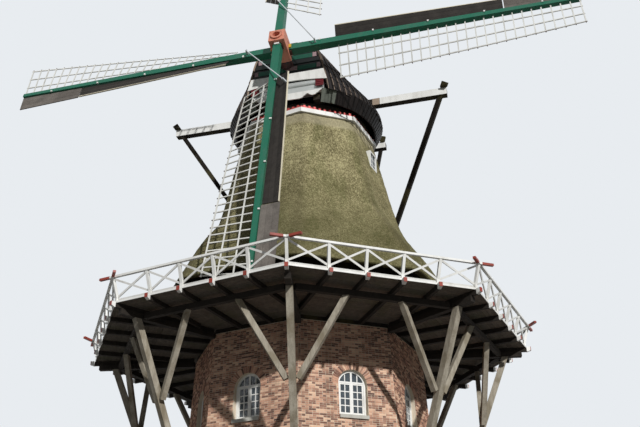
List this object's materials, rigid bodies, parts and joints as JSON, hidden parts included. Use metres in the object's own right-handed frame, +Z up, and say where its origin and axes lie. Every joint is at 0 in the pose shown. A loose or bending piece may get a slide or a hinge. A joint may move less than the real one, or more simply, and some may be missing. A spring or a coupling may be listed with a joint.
{
  "type": "octagonal thatched gallery smock windmill",
  "caption": "Octagonal brick mill tower with a timber gallery, thatched smock, turning cap with tail pole, and lattice sails.",
  "frame": {"origin": "on the ground on the axis of the tower, where the ground floor slab rests", "axes": "+Z up; -Y runs out through the corner of the tower that faces the picture's camera; +X to its right"},
  "size_m": [22.664, 16.8658, 34.4936],
  "materials": {
    "brick": "hand-made orange-brown brick in pale lime mortar",
    "old_oak": "sawn oak, untreated",
    "weathered_oak": "dark weathered planks and beams",
    "grey_timber": "silver-grey weathered timber",
    "white_paint": "white gloss paint on wood",
    "green_paint": "dark green paint on boards",
    "red_paint": "red paint on wood",
    "grey_paint": "grey paint on a rounded beam",
    "thatch": "weathered reed thatch with moss",
    "tarred_boards": "tarred timber",
    "cap_boards": "weathered grey-brown boards",
    "window_glass": "clear window glass",
    "cast_iron_paint": "terracotta paint on cast iron",
    "sail_green": "teal green paint on the stocks",
    "sail_white": "worn white paint on sail bars",
    "windboard_brown": "dark brown weathered boards",
    "galvanised_rod": "galvanised steel rod"
  },
  "bodies": {
    "tower": {"base_wall_0": "brick", "base_wall_1": "brick", "base_wall_2": "brick", "base_wall_3": "brick", "base_wall_4": "brick", "base_wall_5": "brick", "base_wall_6": "brick", "base_wall_7": "brick", "door_frames": "white_paint", "door_leaves": "green_paint", "dormer_frame": "white_paint", "floors": "old_oak", "gallery_beams": "weathered_oak", "gallery_cross_braces": "white_paint", "gallery_deck": "weathered_oak", "gallery_joists": "weathered_oak", "gallery_kick_boards": "white_paint", "gallery_posts": "white_paint", "gallery_rails": "white_paint", "gallery_struts": "grey_timber", "smock_band": "white_paint", "smock_curb": "red_paint", "smock_thatch": "thatch", "smock_walls": "tarred_boards", "window_frames": "white_paint", "window_glass": "window_glass", "window_sills": "brick"},
    "cap": {"breast_beam": "grey_paint", "cap_beard": "white_paint", "cap_fascia": "white_paint", "cap_gable": "green_paint", "cap_posts": "old_oak", "cap_ring": "tarred_boards", "cap_roof_left": "cap_boards", "cap_roof_right": "cap_boards", "cap_sheers": "old_oak", "cap_skirt": "tarred_boards", "cross_beams": "tarred_boards", "tail_braces": "tarred_boards", "tail_pole": "tarred_boards", "tail_winch": "grey_timber", "weather_beam": "old_oak"},
    "sails": {"sail_lattices_inner": "sail_white", "sail_lattices_outer": "sail_white", "sail_stays": "galvanised_rod", "stock_inner": "sail_green", "stock_outer": "sail_green", "windboards": "windboard_brown", "windshaft": "cast_iron_paint"}
  },
  "joints": [
    {"name": "cap_turn", "type": "hinge", "parent": "tower", "child": "cap", "pos_m": [0, 0, 21.1], "axis": [0, 0, 1], "continuous": true},
    {"name": "sails_turn", "type": "hinge", "parent": "cap", "child": "sails", "pos_m": [-0.72744, -3.83156, 23.226], "axis": [-0.1814, -0.9553, 0.2334], "continuous": true}
  ]
}
